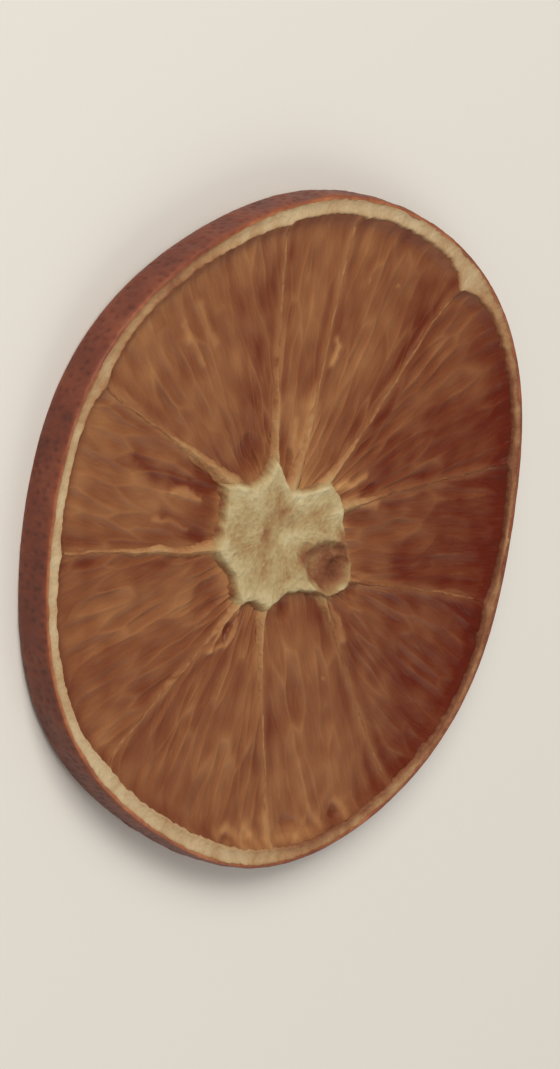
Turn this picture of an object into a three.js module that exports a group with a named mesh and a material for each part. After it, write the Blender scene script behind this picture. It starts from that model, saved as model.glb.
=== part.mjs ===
import * as THREE from "three";

// A dried orange slice: a wheel cut across the fruit, dried thin, lying on one of its cut faces.
// Peel and white albedo stand as a rim, ten membranes run from the rim to a star of pith in the
// middle, and the dried flesh between them has sunk below both. The wheel is one grown piece, so it
// is one solid.
// Lengths are in millimetres and directions in degrees. +Z is up, and the origin is on the surface
// under the middle of the slice.

// Driving dimensions of the wheel
const SLICE_RADIUS = 32;
const RIM_THICKNESS = 3.6;
const CORE_THICKNESS = 2.9;
const FLESH_THICKNESS = 1.5;
const PEEL_WIDTH = 0.6;
const ALBEDO_WIDTH = 1.3;

// The middle of the pith lies a little off the middle of the wheel.
const CORE = { x: -1.3, y: 0 };

// Slow swells of the outline: the number of lobes, their height and the direction of one crest
const OUTLINE_SWELLS = [
  { lobes: 2, height: 0.18, crest: -25 },
  { lobes: 3, height: 0.68, crest: 40 },
  { lobes: 4, height: 0.44, crest: 29 },
  { lobes: 6, height: 0.26, crest: 20 },
];

// The ten membranes, counter-clockwise. Each has its direction at the rim and at its root on the
// star, both seen from the middle of the pith, and the distance that its point of the star reaches.
// bay is the star's radius halfway to the next membrane, and sunk is how much lower than the
// others the flesh lies up to that next membrane.
const MEMBRANES = [
  { rim: -146, root: -138, reach: 9.6, bay: 6.8, sunk: 0.0 },
  { rim: -94, root: -114, reach: 7.6, bay: 5.5, sunk: 0.08 },
  { rim: -64, root: -49, reach: 10.0, bay: 9.0, sunk: 0.15 },
  { rim: -26, root: -39, reach: 11.3, bay: 9.2, sunk: 0.2 },
  { rim: 1, root: 5, reach: 9.4, bay: 7.8, sunk: 0.12 },
  { rim: 39, root: 30, reach: 8.2, bay: 5.8, sunk: 0.05 },
  { rim: 70, root: 64, reach: 7.6, bay: 4.7, sunk: -0.05 },
  { rim: 89, root: 98, reach: 8.2, bay: 7.1, sunk: 0.02 },
  { rim: 140, root: 138, reach: 10.5, bay: 8.4, sunk: 0.16 },
  { rim: 175, root: 178, reach: 10.0, bay: 8.2, sunk: 0.1 },
];
const MEMBRANE_HALF_WIDTH = 0.45;
const MEMBRANE_RISE = 0.38;
// The flesh is drawn up to the rim, and has sunk beside the star.
const FLESH_RISE_AT_RIM = 0.3;
const FLESH_DIP_AT_STAR = 0.15;

// Hollows that drying left in the upper face: one round pocket in the pith, and sunken spots
// where the flesh has drawn back from the star.
const HOLLOWS = [
  { x: 4.2, y: -3.6, radius: 2.3, depth: 1.15 },
  { x: -5.3, y: 8.8, radius: 2.2, depth: 0.35 },
  { x: -11.7, y: -3.3, radius: 2.2, depth: 0.35 },
  { x: -1.6, y: -6.8, radius: 1.5, depth: 0.35 },
];
const CORE_DIMPLE = 0.35;

// The albedo is widest on one side, and runs inwards at the end of each membrane.
const ALBEDO_SWELL = 0.45;
const WIDEST_ALBEDO = 62;
const ALBEDO_SPUR = 0.8;
const ALBEDO_DIP = 0.08;

// Drying has made the wheel wavy: the number of waves round it, their height and one crest
const WAVES = [
  { lobes: 3, height: 0.36, crest: 100 },
  { lobes: 2, height: 0.06, crest: 130 },
];
// The slice lies on the low places of its wavy rim, which are pressed flat by this much.
const FOOT_DEPTH = 0.2;

// The juice sacs point to the star, and have dried to furrows and lumps of about these heights.
const FURROW_DEPTH = 0.14;
const LUMP_HEIGHT = 0.12;
const RANDOM_SEED = 7;

// How finely the surface is divided
const COLUMNS_IN_SEGMENT = 12;
const CORE_RINGS = [0.24, 0.45, 0.64, 0.82, 1];
const FLESH_RINGS = [0.04, 0.14, 0.26, 0.39, 0.52, 0.65, 0.78, 0.89, 0.97];
const RIM_INSETS = [1, 0.5, 0, -1];
const WALL_LEVELS = [0.55, 0, -0.55];

const EDGE_ROUNDING = 0.35;
const STRAIGHT_FROM = 0.25;
const BEND_POWER = 2.5;
const TIP_POWER = 3;
const MOST_FOOT_SHARE = 0.28;

const radians = THREE.MathUtils.degToRad;
const lerp = THREE.MathUtils.lerp;
const clamp = THREE.MathUtils.clamp;

function seededRandom(seed) {
  let state = seed;
  return () => {
    state = (state * 16807) % 2147483647;
    return state / 2147483647;
  };
}

// Sum of slow swells or waves in one direction, in radians.
function sumOfLobes(list, direction) {
  return list.reduce(
    (sum, { lobes, height, crest }) =>
      sum + height * Math.cos(lobes * (direction - radians(crest))),
    0,
  );
}

// Distance from the middle of the pith to the outline in one direction, in radians.
function distanceToOutline(direction) {
  let distance = SLICE_RADIUS;
  for (let pass = 0; pass < 5; pass += 1) {
    const x = CORE.x + distance * Math.cos(direction);
    const y = CORE.y + distance * Math.sin(direction);
    const outline = SLICE_RADIUS + sumOfLobes(OUTLINE_SWELLS, Math.atan2(y, x));
    distance += outline - Math.hypot(x, y);
  }
  return distance;
}

// One segment of flesh, between a membrane and the next one counter-clockwise.
function segmentAfter(index) {
  const first = MEMBRANES[index];
  const last = MEMBRANES[(index + 1) % MEMBRANES.length];
  const turn = index === MEMBRANES.length - 1 ? 360 : 0;
  return {
    rims: [radians(first.rim), radians(last.rim + turn)],
    roots: [radians(first.root), radians(last.root + turn)],
    reaches: [first.reach, last.reach],
    bay: first.bay,
    sunk: first.sunk,
  };
}

// How much of a membrane's point is left at a share of the way to the next membrane: 1 on the
// membranes and 0 halfway between them.
function tipShares(share) {
  return [
    Math.max(0, 1 - 2 * share) ** TIP_POWER,
    Math.max(0, 2 * share - 1) ** TIP_POWER,
  ];
}

function starRadius(segment, share) {
  const tips = tipShares(share);
  return tips.reduce(
    (radius, tip, end) => radius + tip * (segment.reaches[end] - segment.bay),
    segment.bay,
  );
}

function albedoWidth(segment, share) {
  const direction = lerp(...segment.rims, share);
  const [first, last] = tipShares(share);
  const swell = ALBEDO_SWELL * Math.cos(direction - radians(WIDEST_ALBEDO));
  return ALBEDO_WIDTH + swell + ALBEDO_SPUR * (first + last) ** 2;
}

// Direction from the middle of the pith at a share of the segment's width and of the way out.
// Membranes run straight in the outer part of the wheel, and swing towards their roots near the star.
function directionAt(segment, share, outward) {
  const past = clamp((outward - STRAIGHT_FROM) / (1 - STRAIGHT_FROM), 0, 1);
  const bend = (1 - past) ** BEND_POWER;
  return lerp(lerp(...segment.rims, share), lerp(...segment.roots, share), bend);
}

// The share of the segment's width at a column, so that a membrane keeps its width all the way.
function shareOfColumn(segment, column, outward, distance) {
  const width = directionAt(segment, 1, outward) - directionAt(segment, 0, outward);
  const arc = Math.max(outward * distance * width, MEMBRANE_HALF_WIDTH);
  const foot = Math.min(MEMBRANE_HALF_WIDTH / arc, MOST_FOOT_SHARE);
  if (column === 0) return 0;
  return lerp(foot, 1 - foot, (column - 1) / (COLUMNS_IN_SEGMENT - 2));
}

// Height of the wavy middle surface of the wheel.
function middleHeight(x, y) {
  const out = Math.hypot(x, y) / SLICE_RADIUS;
  const lowest = WAVES.reduce((sum, wave) => sum + wave.height, 0);
  const wave = out ** 2 * sumOfLobes(WAVES, Math.atan2(y, x));
  return RIM_THICKNESS / 2 + lowest - FOOT_DEPTH + wave;
}

function hollowDepth(x, y) {
  return HOLLOWS.reduce((sum, hollow) => {
    const near = Math.hypot(x - hollow.x, y - hollow.y) / hollow.radius;
    return sum + hollow.depth * Math.max(0, 1 - near ** 2);
  }, 0);
}

// A ring of the surface says how far out each of its points is, and half the thickness there.
function coreRing(part) {
  return {
    outward: (segment, share, distance) =>
      (part * starRadius(segment, share)) / distance,
    half: () => CORE_THICKNESS / 2 - CORE_DIMPLE * (1 - part) ** 2,
    hollowed: true,
  };
}

function fleshRing(part) {
  return {
    outward: (segment, share, distance) => {
      const inner = starRadius(segment, share);
      const outer = distance - PEEL_WIDTH - albedoWidth(segment, share);
      return lerp(inner, outer, part) / distance;
    },
    half: (segment, column, lump) => {
      const flesh = (FLESH_THICKNESS - segment.sunk) / 2;
      const drawnUp = FLESH_RISE_AT_RIM * part ** 6 - FLESH_DIP_AT_STAR * (1 - part) ** 4;
      if (column === 0) return flesh + drawnUp + MEMBRANE_RISE;
      return flesh + drawnUp + lump - FURROW_DEPTH * (column % 2) * Math.sin(Math.PI * part);
    },
    hollowed: true,
  };
}

// An inset of 1 is the inner edge of the albedo, 0 is where it meets the peel, and -1 is the
// outer edge of the peel.
function rimRing(inset) {
  return {
    outward: (segment, share, distance) => {
      const albedo = Math.max(inset, 0) * albedoWidth(segment, share);
      const peel = inset < 0 ? EDGE_ROUNDING : PEEL_WIDTH;
      return 1 - (albedo + peel) / distance;
    },
    half: () =>
      RIM_THICKNESS / 2 - (inset < 0 ? EDGE_ROUNDING / 2 : ALBEDO_DIP * inset),
    hollowed: false,
  };
}

// The outer wall bows out between the edges of the two faces.
function wallRing(level) {
  return {
    outward: (segment, share, distance) =>
      1 - (EDGE_ROUNDING * level ** 4) / distance,
    half: () => (RIM_THICKNESS / 2) * Math.abs(level),
    hollowed: false,
  };
}

// Where a column of the surface stands in its segment at one ring: its share of the segment's
// width, the outline's distance there and how far out the ring lies.
function placeInSegment(ring, segment, column) {
  const even = column / COLUMNS_IN_SEGMENT;
  const roughDistance = distanceToOutline(lerp(...segment.rims, even));
  const roughOutward = ring.outward(segment, even, roughDistance);
  const share = shareOfColumn(segment, column, roughOutward, roughDistance);
  const distance = distanceToOutline(lerp(...segment.rims, share));
  return { share, distance, outward: ring.outward(segment, share, distance) };
}

// The points of one ring, with side 1 on the upper face and -1 on the lower one.
function ringPoints(ring, side, random) {
  const points = [];
  MEMBRANES.forEach((_, index) => {
    const segment = segmentAfter(index);
    for (let column = 0; column < COLUMNS_IN_SEGMENT; column += 1) {
      const { share, distance, outward } = placeInSegment(ring, segment, column);
      const direction = directionAt(segment, share, outward);
      const x = CORE.x + outward * distance * Math.cos(direction);
      const y = CORE.y + outward * distance * Math.sin(direction);
      const half = ring.half(segment, column, LUMP_HEIGHT * (random() - 0.5));
      const hollow = side > 0 && ring.hollowed ? hollowDepth(x, y) : 0;
      const z = middleHeight(x, y) + side * half - hollow;
      points.push(new THREE.Vector3(x, y, Math.max(z, 0)));
    }
  });
  return points;
}

// The middle point of a face.
function polePoint(side) {
  const half = CORE_THICKNESS / 2 - CORE_DIMPLE;
  return new THREE.Vector3(CORE.x, CORE.y, middleHeight(CORE.x, CORE.y) + side * half);
}

// A closed skin over rings of equal length, with one pole at each end. The rings run
// counter-clockwise, from the upper face over the rim to the lower face.
function skinOver(topPole, rings, bottomPole) {
  const count = rings[0].length;
  const corners = [topPole, ...rings.flat(), bottomPole];
  const last = corners.length - 1;
  const faces = [];
  for (let i = 0; i < count; i += 1) {
    const next = (i + 1) % count;
    faces.push(0, 1 + i, 1 + next);
    faces.push(last, last - count + next, last - count + i);
    for (let ring = 0; ring < rings.length - 1; ring += 1) {
      const inner = 1 + ring * count;
      const outer = inner + count;
      faces.push(inner + i, outer + i, outer + next);
      faces.push(inner + i, outer + next, inner + next);
    }
  }
  const geometry = new THREE.BufferGeometry().setFromPoints(corners);
  geometry.setIndex(faces);
  geometry.computeVertexNormals();
  return geometry;
}

// Moves the slice sideways so that the middle of its outline is over the origin.
function centred(geometry) {
  geometry.computeBoundingBox();
  const middle = geometry.boundingBox.getCenter(new THREE.Vector3());
  return geometry.translate(-middle.x, -middle.y, 0);
}

function sliceGeometry() {
  const random = seededRandom(RANDOM_SEED);
  const face = [
    ...CORE_RINGS.map(coreRing),
    ...FLESH_RINGS.map(fleshRing),
    ...RIM_INSETS.map(rimRing),
  ];
  const upper = face.map((ring) => ringPoints(ring, 1, random));
  const wall = WALL_LEVELS.map((level) =>
    ringPoints(wallRing(level), Math.sign(level), random),
  );
  const lower = face.map((ring) => ringPoints(ring, -1, random)).reverse();
  return centred(
    skinOver(polePoint(1), [...upper, ...wall, ...lower], polePoint(-1)),
  );
}

// Amber-brown dried flesh, which is most of what shows.
const driedFlesh = new THREE.MeshStandardMaterial({
  color: 0x7a4429,
  roughness: 0.45,
  metalness: 0,
});

const slice = new THREE.Mesh(sliceGeometry(), driedFlesh);
slice.name = "orange_slice";

const part = new THREE.Group();
part.add(slice);

export default part;
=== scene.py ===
# %% [markdown]
# A dried orange slice: a wheel cut across the fruit and dried until it is thin, brown and hard.
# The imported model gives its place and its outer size. This script makes the surface that the eye
# sees: peel with pores, a ring of white albedo, a star of spongy pith, ten papery membranes and
# ten segments of shrunken juice sacs. Everything is worked out from a few sizes of the real wheel,
# so the pieces meet without any fitting.

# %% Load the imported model
import math

import bpy
import numpy as np
from mathutils import Matrix, Vector


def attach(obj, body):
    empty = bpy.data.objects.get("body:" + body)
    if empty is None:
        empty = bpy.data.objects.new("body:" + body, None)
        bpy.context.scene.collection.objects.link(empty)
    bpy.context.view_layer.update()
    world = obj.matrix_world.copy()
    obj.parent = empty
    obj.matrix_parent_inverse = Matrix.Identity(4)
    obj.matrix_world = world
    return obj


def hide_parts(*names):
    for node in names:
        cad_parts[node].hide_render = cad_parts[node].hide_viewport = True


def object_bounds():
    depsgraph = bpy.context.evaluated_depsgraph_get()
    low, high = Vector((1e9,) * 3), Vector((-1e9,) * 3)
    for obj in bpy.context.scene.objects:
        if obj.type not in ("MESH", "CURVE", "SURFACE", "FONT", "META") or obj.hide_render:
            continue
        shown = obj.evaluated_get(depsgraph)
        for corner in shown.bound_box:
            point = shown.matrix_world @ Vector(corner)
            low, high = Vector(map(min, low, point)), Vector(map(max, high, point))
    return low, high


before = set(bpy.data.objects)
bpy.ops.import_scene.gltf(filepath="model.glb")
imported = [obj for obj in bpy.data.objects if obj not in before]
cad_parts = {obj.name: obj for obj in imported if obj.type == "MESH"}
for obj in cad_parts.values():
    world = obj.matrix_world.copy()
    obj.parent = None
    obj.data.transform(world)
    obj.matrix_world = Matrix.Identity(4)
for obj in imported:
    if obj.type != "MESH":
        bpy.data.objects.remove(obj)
cad_low, cad_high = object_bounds()
print("box of the packed model in mm:", [round(1000 * side, 2) for side in cad_high - cad_low])

# %% [markdown]
# The wheel's own sizes come first, in millimetres and degrees. A knife cut the wheel about 5 mm
# thick, and drying left a rim of 3.6 mm, with the flesh sunk to less than half of that. Naming
# each size once means that a change here moves every piece that depends on it.

# %% Sizes of the wheel
MM = 0.001
WHEEL_RADIUS = 32.0
RIM_THICKNESS = 3.6
STAR_THICKNESS = 2.9
FLESH_THICKNESS = 1.5
PEEL_WIDTH = 0.52
STAR_X = -1.3

# Slow swells of the outline and waves of the whole wheel: lobes, height, direction of one crest
OUTLINE_SWELLS = [(2, 0.18, -25), (3, 0.68, 40), (4, 0.44, 29), (6, 0.26, 20)]
WAVES = [(3, 0.36, 100), (2, 0.06, 130)]
FOOT_DEPTH = 0.2

# Each membrane: direction at the rim and at its root, and how deep the flesh after it has sunk
MEMBRANES = [
    (-144, -133, 0.0),
    (-93, -105, 0.08),
    (-62, -50, 0.15),
    (-25, -40, 0.2),
    (0, 3, 0.12),
    (36.5, 27, 0.05),
    (69.5, 63, -0.05),
    (88.5, 92, 0.02),
    (140.5, 134.5, 0.16),
    (171.5, 178.5, 0.1),
]
# The star's outline: direction and radius of its points and bays
STAR_OUTLINE = [
    (-168, 7.2), (-156, 6.6), (-136, 7.6), (-121, 6.7), (-106, 6.9), (-81, 6.0), (-66, 6.7),
    (-56, 7.9), (-48, 10.0), (-42, 11.3), (-31, 10.7), (-21, 9.4), (-5, 8.4), (13, 8.3),
    (25, 7.5), (36, 5.4), (47, 4.4), (70, 3.9), (83, 5.0), (95, 7.1), (104, 6.1), (114, 5.9),
    (127, 6.6), (139, 9.2), (147, 8.3), (157, 7.9), (170, 7.8), (179, 8.4),
]
print("membranes:", len(MEMBRANES))

# %% [markdown]
# The outline isn't a circle: four orders of gentle swells are added to it, because a real fruit is
# never round. The flesh, the star and the membranes are drawn from the middle of the star, which
# sits a little off the middle of the wheel. So the distance from the star to the outline is found
# by stepping outwards a few times until the step is nothing.

# %% Outline and height of the wheel
OUTLINE_PASSES = 5
DEGREES_APART = 0.1


def sum_of_lobes(lobes, direction):
    """Waves round the wheel, each with its number of crests, height and direction of a crest."""
    return sum(h * np.cos(n * (direction - np.radians(crest))) for n, h, crest in lobes)


def outline_distance(direction):
    distance = np.full(np.shape(direction), WHEEL_RADIUS)
    for _ in range(OUTLINE_PASSES):
        x = STAR_X + distance * np.cos(direction)
        y = distance * np.sin(direction)
        swollen = WHEEL_RADIUS + sum_of_lobes(OUTLINE_SWELLS, np.arctan2(y, x))
        distance = distance + swollen - np.hypot(x, y)
    return distance


def middle_height(x, y):
    """Height of the middle of the wavy wheel over the floor."""
    lowest = sum(height for _, height, _ in WAVES)
    wave = (np.hypot(x, y) / WHEEL_RADIUS) ** 2 * sum_of_lobes(WAVES, np.arctan2(y, x))
    return RIM_THICKNESS / 2 + lowest - FOOT_DEPTH + wave


def outline_middle():
    direction = np.radians(np.arange(0, 360, DEGREES_APART))
    distance = outline_distance(direction)
    edge = np.stack([STAR_X + distance * np.cos(direction), distance * np.sin(direction)])
    print("width and height of the outline in mm:", np.round(np.ptp(edge, 1), 2))
    return (edge.max(1) + edge.min(1)) / 2


MIDDLE = outline_middle()

# %% [markdown]
# Each segment is a wedge between two membranes. A point in it is named by its share of the way
# across, 0 at one membrane and 1 at the next, and by its distance from the star. The membranes run
# straight near the rim and swing to their roots near the star, so the direction of a point depends
# on both numbers.

# %% The ten segments
TIP_POWER = 3
STRAIGHT_FROM = 0.25
BEND_POWER = 2.5


def blend(start, end, share):
    return start + (end - start) * share


def tip_shares(share):
    """Nearness to the first and the last membrane of a segment, 1 on it and 0 past halfway."""
    first = np.maximum(0, 1 - 2 * share) ** TIP_POWER
    return first, np.maximum(0, 2 * share - 1) ** TIP_POWER


class Segment:
    def __init__(self, index):
        self.index, self.next = index, (index + 1) % len(MEMBRANES)
        first, last = MEMBRANES[index], MEMBRANES[self.next]
        turn = 0 if self.next else 360
        self.name = f"segment_{index + 1:02d}"
        self.rims = np.radians([first[0], last[0] + turn])
        self.roots = np.radians([first[1], last[1] + turn])
        self.sunk = first[2]
        self.rim_length = WHEEL_RADIUS * (self.rims[1] - self.rims[0])

    def direction(self, share, outward):
        past = np.clip((outward - STRAIGHT_FROM) / (1 - STRAIGHT_FROM), 0, 1)
        bend = (1 - past) ** BEND_POWER
        return blend(blend(*self.rims, share), blend(*self.roots, share), bend)

    def star_radius(self, share):
        direction = np.degrees(blend(*self.roots, share))
        return np.interp(direction, *zip(*STAR_OUTLINE), period=360)

    def lane(self, distance, outline):
        """Width of the segment at a distance from the star."""
        outward = distance / outline
        return distance * (self.direction(1, outward) - self.direction(0, outward))


SEGMENTS = [Segment(index) for index in range(len(MEMBRANES))]
print("segment widths in mm at the rim:", [round(float(s.rim_length), 1) for s in SEGMENTS])

# %% [markdown]
# Nothing on a dried fruit is smooth, so two kinds of random pattern are needed. Soft noise gives
# gentle hills of a chosen size. Cells divide the surface like the sacs of the flesh or the pores of
# the peel: each point learns how far it is from the middle of its cell and from the nearest wall.
# Both draw from seeded tables, so every run makes the same slice. The seed is a plain number, and
# each pattern has its own.

# %% Seeded patterns
LATTICE = 512
CELL_REACH = 2
NOISE_GAIN = 1.4
CREASE_SHARPNESS = 5
FAR_AWAY = 99.0


def soft_noise(x, y, seed, around=LATTICE):
    turns = np.random.default_rng(seed).uniform(0, 2 * math.pi, (LATTICE, LATTICE))
    column, row = np.floor(x).astype(int), np.floor(y).astype(int)
    across, up = x - column, y - row
    fade_across, fade_up = (t * t * t * (t * (6 * t - 15) + 10) for t in (across, up))

    def slope(a, b):
        turn = turns[(row + b) % LATTICE, (column + a) % around]
        return np.cos(turn) * (across - a) + np.sin(turn) * (up - b)

    low = blend(slope(0, 0), slope(1, 0), fade_across)
    high = blend(slope(0, 1), slope(1, 1), fade_across)
    return NOISE_GAIN * blend(low, high, fade_up)


def layered_noise(x, y, seed, *layers):
    """Sum of soft noises, each given as its size in mm and its height."""
    return sum(
        height * soft_noise(x / size, y / size, seed + index)
        for index, (size, height) in enumerate(layers)
    )


def cells(x, y, seed, around=LATTICE, jitter=0.85, taper=0.0):
    """Distance to the cell's middle, distance to its nearest wall, and the cell's random number."""
    shift_x, shift_y, number = np.random.default_rng(seed).uniform(0, 1, (3, LATTICE, LATTICE))
    column, row = np.floor(x).astype(int), np.floor(y).astype(int)
    nearest, second = np.full(x.shape, FAR_AWAY), np.full(x.shape, FAR_AWAY)
    own = np.zeros(x.shape)
    for up in range(-CELL_REACH, CELL_REACH + 1):
        for side in range(-CELL_REACH, CELL_REACH + 1):
            at = (row + up) % LATTICE, (column + side) % around
            away_x = column + side + 0.5 + jitter * (shift_x[at] - 0.5) - x
            away_y = row + up + 0.5 + jitter * (shift_y[at] - 0.5) - y
            away = np.hypot(away_x, away_y * (1 - taper * np.sign(away_y)))
            closer = away < nearest
            second = np.where(closer, nearest, np.minimum(second, away))
            own = np.where(closer, number[at], own)
            nearest = np.where(closer, away, nearest)
    return nearest, (second - nearest) / 2, own


def creases(x, y, seed):
    """Thin winding lines, 1 on each line and 0 beside it."""
    return np.maximum(0, 1 - CREASE_SHARPNESS * np.abs(soft_noise(x, y, seed))) ** 2


def smooth_step(low, high, value):
    """0 before low, 1 after high, and a soft change between. It falls where low is above high."""
    share = np.clip((value - low) / (high - low), 0, 1)
    return share * share * (3 - 2 * share)


def hill(value, width):
    """1 where the value is 0, falling softly to 0 over the width."""
    return np.exp(-((value / width) ** 2))


def hill_round(direction, centre, spread):
    """A hill over a stretch of the rim, from directions in radians and a stretch in degrees."""
    away = (direction - math.radians(centre) + math.pi) % (2 * math.pi) - math.pi
    return hill(np.degrees(away), spread)


print("noise at one place:", round(float(soft_noise(np.array([0.3]), np.array([0.7]), 1)[0]), 3))

# %% [markdown]
# Every piece is a closed skin over rows of points, as a coil pot is a skin over its coils. Filling
# the mesh from arrays is many times faster than adding faces one by one. Each point also carries a
# tone, from dark to light, which the materials turn into colour, and on the flesh its place along
# and across the fibres.

# %% Closed skins over rows of points
def grid_faces(rows, columns, round_rows=False, round_columns=True, start=0):
    """Four-sided faces between neighbours of a grid that is stored row by row."""
    row = np.arange(rows if round_rows else rows - 1)[:, None]
    column = np.arange(columns if round_columns else columns - 1)
    next_row, next_column = (row + 1) % rows, (column + 1) % columns
    corners = [(row, column), (next_row, column), (next_row, next_column), (row, next_column)]
    return start + np.stack([a * columns + b for a, b in corners], -1).reshape(-1, 4)


def mesh_piece(name, points, faces, slot, **values):
    """A piece of the slice, from points in mm, a list of face arrays and values at the points."""
    mesh = bpy.data.meshes.new(name)
    placed = (points - np.array([*MIDDLE, 0])) * MM
    mesh.vertices.add(len(points))
    mesh.vertices.foreach_set("co", placed.astype(np.float32).ravel())
    corners = np.concatenate([f.ravel() for f in faces])
    sizes = np.concatenate([np.full(len(f), f.shape[1]) for f in faces])
    mesh.loops.add(len(corners))
    mesh.loops.foreach_set("vertex_index", corners.astype(np.int32))
    mesh.polygons.add(len(sizes))
    mesh.polygons.foreach_set("loop_start", (np.cumsum(sizes) - sizes).astype(np.int32))
    mesh.update(calc_edges=True)
    mesh.shade_smooth()
    for label, value in values.items():
        kind, field = ("FLOAT", "value") if value.ndim == 1 else ("FLOAT_VECTOR", "vector")
        layer = mesh.attributes.new(label, kind, "POINT")
        layer.data.foreach_set(field, value.astype(np.float32).ravel())
    piece = bpy.data.objects.new(name, mesh)
    bpy.context.scene.collection.objects.link(piece)
    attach(piece, "root")
    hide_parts("orange_slice")
    print(f"{name}: {sum(len(f) * (f.shape[1] - 2) for f in faces)} triangles")
    return piece


def on_middle(x, y, half, side):
    """Points at a height above or below the wavy middle of the wheel, but never under the floor."""
    return np.stack([x, y, np.maximum(middle_height(x, y) + side * half, 0)], -1)


# %% [markdown]
# The rim has columns all round, each a fixed step of the outline. The line where peel meets albedo
# wanders a little, because the knife and the drying never agree, and both pieces take it from the
# same numbers, so they stay joined along it. The albedo is widest towards the upper right, and runs
# inwards to a triangle at the end of some membranes.

# %% Columns round the rim
RIM_STEP = 0.13
SEAM_WANDER = 0.08
ALBEDO_WIDTH = 1.0
# Direction and spread of each swell of the albedo, and how much wider it is there
ALBEDO_SWELLS = [(-115, 25, 0.4), (-22, 48, -0.55), (58, 35, 0.16), (92, 25, 0.16)]
# How far the albedo runs inwards along each membrane
ALBEDO_SPURS = [0.4, 0.2, 0.25, 0.9, 0.6, 1.7, 0.2, 0.3, 0.8, 0.4]
SPUR_POWER = 1.6
# Direction, spread and depth of the stains that juice has left
RIM_STAINS = [(-80, 20, 0.32), (-38, 30, 0.4), (8, 28, 0.4), (112, 14, 0.3), (132, 22, 0.18)]


def albedo_width(segment, share):
    direction = blend(*segment.rims, share)
    first, last = tip_shares(share)
    spurs = ALBEDO_SPURS[segment.index] * first**SPUR_POWER
    spurs = spurs + ALBEDO_SPURS[segment.next] * last**SPUR_POWER
    swells = sum(extra * hill_round(direction, at, spread) for at, spread, extra in ALBEDO_SWELLS)
    return ALBEDO_WIDTH + swells + spurs


def rim_columns():
    """Direction from the star, distance to the outline and albedo width of each column."""
    shares = [np.arange(0, 1, RIM_STEP / s.rim_length) for s in SEGMENTS]
    direction = np.concatenate([blend(*s.rims, share) for s, share in zip(SEGMENTS, shares)])
    width = np.concatenate([albedo_width(s, share) for s, share in zip(SEGMENTS, shares)])
    return direction, outline_distance(direction), width


rim_direction, rim_outline, rim_albedo = rim_columns()
rim_edge = rim_outline * np.cos(rim_direction), rim_outline * np.sin(rim_direction)
rim_seam = PEEL_WIDTH + SEAM_WANDER * layered_noise(*rim_edge, 11, (2.3, 1.0), (0.8, 0.6))
rim_stain = sum(depth * hill_round(rim_direction, at, spread) for at, spread, depth in RIM_STAINS)
print("columns round the rim:", len(rim_direction))


def rim_row(inset, half, side):
    """Points all round the wheel, at an inset from the outline."""
    distance = rim_outline - inset
    x, y = STAR_X + distance * np.cos(rim_direction), distance * np.sin(rim_direction)
    return on_middle(x, y, half, side)


def band_piece(name, rows, tones, slot):
    """A closed band all round the wheel. Its rows run over the top, down inside and back below."""
    faces = grid_faces(len(rows), len(rim_direction), round_rows=True)
    return mesh_piece(name, np.concatenate(rows), [faces], slot, tone=np.concatenate(tones))


# %% [markdown]
# The peel is a thin leathery band. Its outer side bows out between the two cut edges, and is
# pitted with the pores of the oil glands, about one to a millimetre. The pores are real dimples in
# the mesh, because light from the side shows them. The band closes on itself inside the albedo.

# %% Peel
PORE_SPACING = 0.95
PORE_DEPTH = 0.08
PORE_WIDTHS = (0.18, 0.32)
LUMP_SPACING = 2.6
FINE_LUMP_SPACING = 0.6
EDGE_ROUNDING = 0.2
WALL_LEVELS = np.linspace(0.95, -0.95, 30)
CUT_EDGE_TONE = 0.85
STAIN_ON_PEEL = 0.6
PEEL_TONE = 0.3
# Share of the way from the seam to the corner, and how far that part of the cut edge drops
CUT_ROWS = [
    (-0.4, 0.4), (-0.15, 0.1), (0.0, 0.03), (0.25, 0.0), (0.55, 0.0), (0.85, 0.012), (1.0, 0.05),
]


def peel_cut_edge(side):
    rows, tones = [], []
    ragged = layered_noise(*rim_edge, 21 + side, (2.4, 0.05), (0.9, 0.05))
    mottle = layered_noise(*rim_edge, 25 + side, (3.0, 0.2), (0.7, 0.12))
    for share, drop in CUT_ROWS:
        inset = blend(rim_seam, EDGE_ROUNDING, share)
        height = RIM_THICKNESS / 2 - drop + ragged * (1 - 0.6 * max(share, 0))
        rows.append(rim_row(inset, height, side))
        tones.append(CUT_EDGE_TONE - 0.25 * share**2 + mottle - STAIN_ON_PEEL * rim_stain)
    return rows, tones


def peel_wall():
    rows, tones = [], []
    turn = np.arange(len(rim_direction)) / len(rim_direction)
    length = 2 * math.pi * WHEEL_RADIUS
    pores_round, lumps_round = round(length / PORE_SPACING), round(length / LUMP_SPACING)
    for level in WALL_LEVELS:
        height = np.full(len(turn), level * RIM_THICKNESS / 2)
        near, _, number = cells(turn * pores_round, height / PORE_SPACING + 40, 31, pores_round)
        pore = hill(near, blend(*PORE_WIDTHS, number)) * smooth_step(0.1, 0.4, number)
        lumps = 0.1 * soft_noise(turn * lumps_round, height / LUMP_SPACING, 32, lumps_round)
        fine_rows = height / FINE_LUMP_SPACING
        lumps += 0.04 * soft_noise(turn * 2 * pores_round, fine_rows, 33, 2 * pores_round)
        free = 1 - level**8
        inset = EDGE_ROUNDING * level**4 - (lumps - PORE_DEPTH * pore) * free
        rows.append(rim_row(inset, np.abs(height), np.sign(level)))
        tones.append(PEEL_TONE + 0.25 * level**6 + 0.9 * lumps - 0.14 * pore)
    return rows, tones


upper, upper_tones = peel_cut_edge(1)
lower, lower_tones = peel_cut_edge(-1)
wall, wall_tones = peel_wall()
peel_rows = [*upper, *wall, *lower[::-1]]
peel = band_piece("peel", peel_rows, [*upper_tones, *wall_tones, *lower_tones[::-1]], "peel")

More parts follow.
